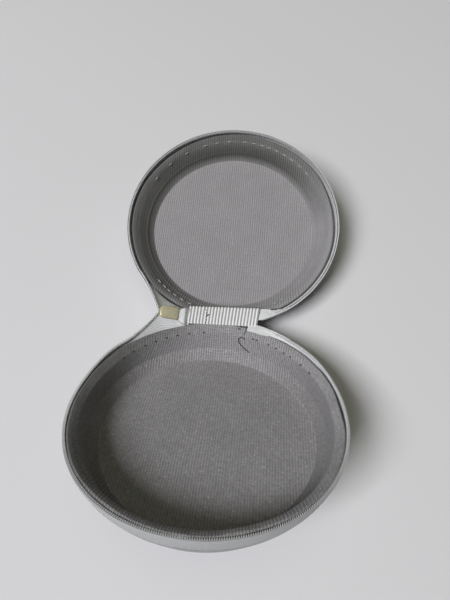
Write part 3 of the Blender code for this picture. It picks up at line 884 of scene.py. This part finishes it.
ribbon = {"length": 30.5, "wide": 13, "baseSeat": 2.5, "lidSeat": 6.2, "skew": 1.6, "top": 0.9, "foot": 2.85,
          "hem": 2, "baseHem": 1.3, "hemShare": 0.16, "widen": 1, "ribs": 22, "ribShare": 0.74,
          "ribHeight": 0.42, "arch": 0.25, "fray": 0.16, "wander": 0.2, "thick": 0.35}
tack = {"row": (0.232, 0.238, 0.252, 0.262, 0.268, 0.262), "from": 0.8, "to": 0.2, "ahead": (0.004, -0.07),
        "lift": 0.12, "size": (0.00042, 0.00014), "knot": (0.275, 0.47), "knotLift": 0.25, "knotSize": 0.00032}
web = {"length": 29.2, "wide": 14, "top": 3.6, "bottom": 7.8, "thick": 0.35, "slack": 0.12}


def ribAt(u):
    beat = (u * ribbon["ribs"]) % 1
    return sin(pi * beat / ribbon["ribShare"]) ** 0.6 if beat < ribbon["ribShare"] else 0


def alongStops(stops, marks, place):
    # point on a line of stops, each reached at its mark
    for first, last, start, end in zip(stops, stops[1:], marks, marks[1:]):
        if place < end or end == marks[-1]:
            return first.lerp(last, (place - start) / (end - start))


def ribbonPlace(u, v, lift=0):
    # across the hinge from the base's hem to the lid's, sewn a little askew
    share = u - 0.5
    wander = ribbon["wander"] * uneven(u * 3, 4, 0)
    x = share * ribbon["length"] + u * v * ribbon["widen"] + wander
    fray = ribbon["fray"] * uneven(u * 26, 9 if v > 0.5 else 2, 0)
    baseSeat = ribbon["baseSeat"] - ribbon["skew"] * share + fray
    lidSeat = ribbon["lidSeat"] + ribbon["skew"] * share + fray
    seats = (("base", baseSeat - ribbon["baseHem"], ribbon["foot"] - 0.5), ("base", baseSeat, ribbon["top"]),
             ("lid", lidSeat, ribbon["top"]), ("lid", lidSeat - ribbon["hem"], ribbon["foot"]))
    stops = [inHalf(half, x, halves[half]["side"] * (case["hingeReach"] - seat), -depth)
             for half, seat, depth in seats]
    up = alongHinge.cross(stops[2] - stops[1]).normalized()

    marks = (0, ribbon["hemShare"], 1 - ribbon["hemShare"], 1)
    places = [min(1, max(0, v + step)) for step in (-0.03, -0.015, 0, 0.015, 0.03)]
    rounded = sum((alongStops(stops, marks, place) for place in places), Vector()) / 5
    onTop = rise(v, (0.08, 0.1)) * rise(v, (0.92, -0.1))
    height = lift + ribbon["ribHeight"] * ribAt(u) * onTop + ribbon["arch"] * sin(pi * v) * onTop
    return rounded + up * mm * height


def buildRibbon():
    bm = sheetGrid(ribbon["ribs"] * 12, 30, ribbonPlace, ribbon["thick"], ribbon["length"], ribbon["wide"])
    heights = bm.verts.layers.float.new("rib")
    uvLayer = bm.loops.layers.uv["cloth"]
    for vert in bm.verts:
        along = vert.link_loops[0][uvLayer].uv.x / ribbon["length"]
        vert[heights] = ribAt(min(0.9999, max(0, along)))
    return finishPiece("hingeRibbon", bm, "ribbon", None, ["hinge_ribbon"], 80)


def addGrain(bm, here, ahead, long, thick):
    # one stitch: a stretched ball along the seam, sizes in metres
    turn = (ahead - here).to_track_quat("X", "Z").to_matrix().to_4x4()
    shape = Matrix.Diagonal((long, thick, thick, 1))
    bmesh.ops.create_icosphere(bm, subdivisions=2, radius=1, matrix=Matrix.Translation(here) @ turn @ shape)


def buildTack():
    # dark tacking stitches between two ribs, with a knot
    bm = bmesh.new()
    aheadU, aheadV = tack["ahead"]
    for i, u in enumerate(tack["row"]):
        v = between(tack["from"], tack["to"], i / (len(tack["row"]) - 1))
        ahead = ribbonPlace(u + aheadU, v + aheadV, tack["lift"])
        addGrain(bm, ribbonPlace(u, v, tack["lift"]), ahead, *tack["size"])
    for step in (-0.012, 0, 0.012):
        here = ribbonPlace(tack["knot"][0] + step, tack["knot"][1] + step, tack["knotLift"])
        bmesh.ops.create_icosphere(bm, subdivisions=2, radius=tack["knotSize"], matrix=Matrix.Translation(here))
    return finishPiece("ribbonTack", bm, "darkThread")


def buildWeb():
    def placeOf(u, v):
        x = (u - 0.5) * web["length"]
        reach = sqrt(case["hingeReach"] ** 2 - x ** 2)
        brow = between(case["hingeReach"], reach, web["top"] / web["bottom"])
        low, high = (reach, web["bottom"]), (brow, web["top"])
        seats = (("base", low), ("base", high), ("lid", high), ("lid", low))
        stops = [inHalf(half, x, halves[half]["side"] * y, -depth) for half, (y, depth) in seats]
        slack = web["slack"] * uneven(x * 0.25, v * 5, 0)
        return alongStops(stops, (0, 1, 2, 3), v * 3) - Vector((0, 0, abs(slack) * mm))

    bm = sheetGrid(60, 24, placeOf, web["thick"], web["length"], web["wide"])
    piece = finishPiece("hingeWeb", bm, "webCloth", None, ["hinge_web"])
    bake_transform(piece)


for piece in (buildRibbon(), buildTack()):
    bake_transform(piece)
buildWeb()
print("hinge made")

# right-hand ends of the tapes, turned in over the lips and under the ribbon

tapeEnd = {
    "base": {"from": -14, "to": -37, "inner": 46, "lift": 2.5},
    "lid": {"from": -14, "to": -36, "inner": 44.6, "lift": 2.1},
    "outer": 49.95, "straight": 48.9, "outerDepth": 0.8, "innerDepth": 2.75, "puff": 0.35, "sag": 0.18,
    "length": 20, "wide": 6,
}


def buildTapeEnd(half):
    end, shape = tapeEnd[half], tapeEnd

    def placeOf(u, v):
        angle = between(end["from"], end["to"], u)
        turned = smooth((1 - u) * 1.25)
        inner = between(shape["straight"], end["inner"], turned)
        radius = between(shape["outer"], inner, v)
        drop = shape["innerDepth"] - end["lift"] * shape["puff"] * turned - shape["outerDepth"]
        depth = shape["outerDepth"] + drop * sin(v * pi / 2)
        sag = shape["sag"] * uneven(angle * 0.3, v * 2, halves[half]["side"])
        puff = shape["puff"] * turned * sin(pi * v)
        return ringPoint(half, angle, radius, depth - sag - puff, case["zipOffset"])

    bm = sheetGrid(36, 10, placeOf, zipper["thick"], shape["length"], shape["wide"])
    finishPiece(half + "TapeEnd", bm, "tape", half)


for half in halves:
    buildTapeEnd(half)
print("tape ends turned in")

# zip slider in rounded sheet metal, and the pull's solid with the same plating

slider = {
    # plate: its nose and heel along the zip, then its half widths there
    "angle": 28.7, "plate": (3.9, -4.5, 2.95, 2.6), "corners": [1.1, 2.7, 2.7, 1.1],
    "inner": (48.16, 47.5), "outer": (50.2, 50.85), "rounding": 0.5, "dome": 0.42,
    # blocks by their low and high corners: along, outward and across
    "flange": ((-4.3, 47.9, 2.12), (2.4, 49.3, 2.47)), "flangeRounding": 0.12,
    "post": ((1, 47.9, -0.3), (3.4, 50.5, 0.3)), "postRounding": 0.1,
    # bail: half its length, the radii of its foot and top, half its width
    "bail": (2.8, 50.6, 52.75, 0.7), "bailCorner": 0.9, "bailThick": 0.4,
}


def onlyOf(kind, geometry):
    return [item for item in geometry if isinstance(item, getattr(bmesh.types, kind))]


def addPlate(bm, face, back):
    nose, heel, front, rear = slider["plate"]
    corners = [(heel, 0), (heel, -rear), (nose, -front), (nose, front), (heel, rear), (heel, 0)]
    outline = roundLine(corners, slider["corners"], 8)[:-1]
    plate = bm.faces.new([bm.verts.new((u, face, w)) for u, w in outline])
    raised = bmesh.ops.extrude_face_region(bm, geom=[plate])["geom"]
    bmesh.ops.translate(bm, vec=(0, back - face, 0), verts=onlyOf("BMVert", raised))
    top = onlyOf("BMFace", raised)[0]
    bmesh.ops.bevel(bm, geom=top.edges[:], offset=slider["rounding"], affect="EDGES", segments=4, profile=0.5,
                    material=-1)
    # the plate's face swells a little in the middle
    level = [f for f in bm.faces if all(abs(vert.co.y - back) < 1e-4 for vert in f.verts)]
    bm.normal_update()
    largest = max(level, key=lambda f: f.calc_area())
    bmesh.ops.poke(bm, faces=[largest], offset=slider["dome"], center_mode="BOUNDS")


def addBlock(bm, low, high, rounding):
    size, centre = Vector(high) - Vector(low), (Vector(high) + Vector(low)) / 2
    shape = Matrix.Translation(centre) @ Matrix.Diagonal((*size, 1))
    made = bmesh.ops.create_cube(bm, size=1, matrix=shape)
    edges = {edge for vert in made["verts"] for edge in vert.link_edges}
    bmesh.ops.bevel(bm, geom=list(edges), offset=rounding, affect="EDGES", segments=2, profile=0.5, material=-1)


def addBail(bm):
    # a strap bent into a bridge, which the pull's eye goes round
    reach, foot, high, wide = slider["bail"]
    strap = roundLine([(-reach, foot), (-reach, high), (reach, high), (reach, foot)], [slider["bailCorner"]] * 2, 8)
    rim = [bm.verts.new((u, radius, -wide)) for u, radius in strap]
    edges = [bm.edges.new(pair) for pair in zip(rim, rim[1:])]
    swept = bmesh.ops.extrude_edge_only(bm, edges=edges)["geom"]
    bmesh.ops.translate(bm, vec=(0, 0, 2 * wide), verts=onlyOf("BMVert", swept))
    faces = onlyOf("BMFace", swept)
    bmesh.ops.recalc_face_normals(bm, faces=faces)
    bmesh.ops.solidify(bm, geom=faces, thickness=slider["bailThick"])


def buildSlider():
    middle = zipFrame @ Vector((0, case["zipOffset"] - case["hingeReach"], 0))
    outward = (zipPoint(slider["angle"], 50, 0) - middle).normalized()
    along = zipUp.cross(outward).normalized()
    place = Matrix.Translation(middle) @ Matrix((along, outward, zipUp)).transposed().to_4x4() @ toMetres
    bm = bmesh.new()
    addPlate(bm, *slider["inner"])
    addPlate(bm, *slider["outer"])
    (rear, low, near), (front, high, far) = slider["flange"]
    for first, last in ((-far, -near), (near, far)):
        addBlock(bm, (rear, low, first), (front, high, last), slider["flangeRounding"])
    addBlock(bm, *slider["post"], slider["postRounding"])
    addBail(bm)
    faceOut(bm)
    bmesh.ops.transform(bm, matrix=place, verts=bm.verts)
    finishPiece("sliderBody", bm, "metal", "slider", ["slider_body"], 40)


buildSlider()
plating = frame["nodes"]["pull_tab"].data.materials
plating.clear()
plating.append(looks["metal"])
print("slider made")

# stitching: sizes are length and half thickness in mm, marks are angles round the half

seams = {
    "base": {"look": "darkThread", "size": (1.2, 0.3),
             "marks": (58, 51.5, 44, 37.5, 31, 24.8, 18, 9.8, -18.3, -20.6, -27.8, -32.5, -37.8, -42.3, -50, -57)},
    "lid": {"look": "lightThread", "size": (2.2, 0.17),
            "marks": (20.8, 26, 31, 35.5, 39.3, 44, 118, 131, 144, 157, 165, 173, -177, -170.8,
                      -165.5, -160.8, -155.5, -150, -144, -137.5, -131, -35.5, -30.8)},
}
seamLine = {"radius": 44.72, "radiusDrift": 0.1, "depth": 3.9, "depthDrift": 0.3}
tapeSeam = {"count": 100, "pitch": 2.84, "height": 0.14, "size": (1.6, 0.09)}
tapeKnots = {"places": ((-27, 47.4), (-28.6, 47.9)), "depth": 1.15, "size": (1.3, 0.32)}


def addStitch(bm, pointAt, angle, size):
    addGrain(bm, pointAt(angle), pointAt(angle + 0.5), size[0] * 0.0005, size[1] * mm)


def buildSeams(half):
    seam, bm = seams[half], bmesh.new()
    for i, angle in enumerate(seam["marks"]):
        drift = uneven(i * 1.7, 3, halves[half]["side"])
        radius = seamLine["radius"] + seamLine["radiusDrift"] * drift
        depth = seamLine["depth"] + seamLine["depthDrift"] * drift
        addStitch(bm, lambda turn: ringPoint(half, turn, radius, depth), angle, seam["size"])
    finishPiece(half + "LipStitches", bm, seam["look"], half)

    bm = bmesh.new()
    for i in range(tapeSeam["count"]):
        angle = zipper["softStart"] + i * tapeSeam["pitch"]
        addStitch(bm, lambda turn: alongSection(tapeSection(half, turn), tapeSeam["height"]), angle, tapeSeam["size"])
    finishPiece(half + "TapeStitches", bm, "tapeThread", half)


def buildKnots():
    bm = bmesh.new()
    for angle, radius in tapeKnots["places"]:
        addStitch(bm, lambda turn: ringPoint("lid", turn, radius, tapeKnots["depth"]), angle, tapeKnots["size"])
    finishPiece("lidTapeKnots", bm, "darkThread", "lid")


# cut ends of a dark thread, in the base's frame: a hook on the back wall and a short end over the lip
thread = {
    "hook": [(10.5, 43.25, -5.3), (10.2, 43.33, -4.6), (9.6, 43.48, -4.2), (8.9, 43.6, -4.25), (8.2, 43.72, -4.8),
             (7.85, 43.7, -5.7), (7.9, 43.65, -6.8), (8.6, 43.45, -8), (9.7, 43.1, -9.1), (11.2, 42.6, -10.2),
             (12.9, 42, -11.2)],
    "end": [(11.1, 46.3, -1.1), (10.9, 45.6, -1.5), (10.6, 44.9, -2.1), (10.2, 44.35, -2.7), (9.9, 44.1, -3.2)],
    "knots": [(7.2, 45.9, -1.65), (7.7, 45.7, -1.7), (10.9, 46.2, -1.1)], "knotLong": (0.5, 0.3, 0.1),
    "inward": 0.996, "lift": 0.05, "radius": 0.17,
}


def buildLooseThread():
    inward, lift = thread["inward"], thread["lift"]
    runs = [[inHalf("base", x * inward, y * inward, z + lift) for x, y, z in thread[name]] for name in ("hook", "end")]
    for knot in thread["knots"]:
        runs.append([inHalf("base", *knot), inHalf("base", *(Vector(knot) + Vector(thread["knotLong"])))])
    addWire("looseThread", runs, thread["radius"], "darkThread", "base", sides=2)


for half in seams:
    buildSeams(half)
buildKnots()
buildLooseThread()
print("stitching made")

# floor, light and camera

stage = {"floor": (0.68, 0.68, 0.69), "world": 0.03, "backdrop": 0.55, "aim": (0, 0, 0.02)}
lamps = {
    "window": {"energy": 81, "size": 1.1, "place": (-1.2, -1.22, 2.38), "tint": (1, 0.99, 1.03)},
    "ceiling": {"energy": 9, "size": 1.6, "place": (0.1, 0.3, 2.9), "tint": (1, 1, 0.72)},
}

bm = bmesh.new()
bmesh.ops.create_grid(bm, x_segments=1, y_segments=1, size=2)
floorMesh = toMesh("floor", bm)
floorMesh.materials.append(surface(startMaterial("paleFloor"), (*stage["floor"], 1), roughness=0.9))
floor = addObject("floor", floorMesh)

# the eye and the metal see a pale room, which lights the case only a little
world = bpy.data.worlds.new("softRoom")
scene.world = world
world.use_nodes = True
room = world.node_tree
backdrop = room.nodes["Background"].inputs
feed(backdrop["Color"], (1, 1, 1, 1))
rays = addNode(room, "LightPath").outputs
seen = mathNode("MAXIMUM", rays["Is Camera Ray"], rays["Is Glossy Ray"])
seen = mathNode("MAXIMUM", seen, rays["Is Transmission Ray"])
level = mathNode("ADD", times(seen, stage["backdrop"]), stage["world"])
feed(backdrop["Strength"], level)

for name, light in lamps.items():
    lamp = bpy.data.lights.new(name, "AREA")
    lamp.energy, lamp.size, lamp.color = light["energy"], light["size"], light["tint"]
    holder = addObject(name, lamp)
    holder.location = light["place"]
    holder.rotation_euler = (Vector(stage["aim"]) - holder.location).to_track_quat("-Z", "Y").to_euler()

# camera as the photo was taken: place in mm from the base's rim, directions in the base's frame
photo = {"place": (12.82, -118.22, 130.45), "forward": (-0.0582, 0.81236, -0.58025),
         "down": (0.08055, -0.57551, -0.81381), "focal": 481, "tall": 600, "sensor": 36, "clip": (0.005, 20)}
turn = halves["base"]["frame"].to_3x3().normalized()
forward, down = turn @ Vector(photo["forward"]), turn @ Vector(photo["down"])
lens = bpy.data.cameras.new("camera")
lens.sensor_fit, lens.sensor_width = "AUTO", photo["sensor"]
lens.lens = photo["focal"] / photo["tall"] * photo["sensor"]
lens.clip_start, lens.clip_end = photo["clip"]
camera = addObject("camera", lens)
facing = Matrix((down.cross(forward), -down, -forward)).transposed().to_4x4()
camera.matrix_world = Matrix.Translation(inHalf("base", *photo["place"])) @ facing
scene.camera = camera
scene.view_settings.view_transform = "Standard"
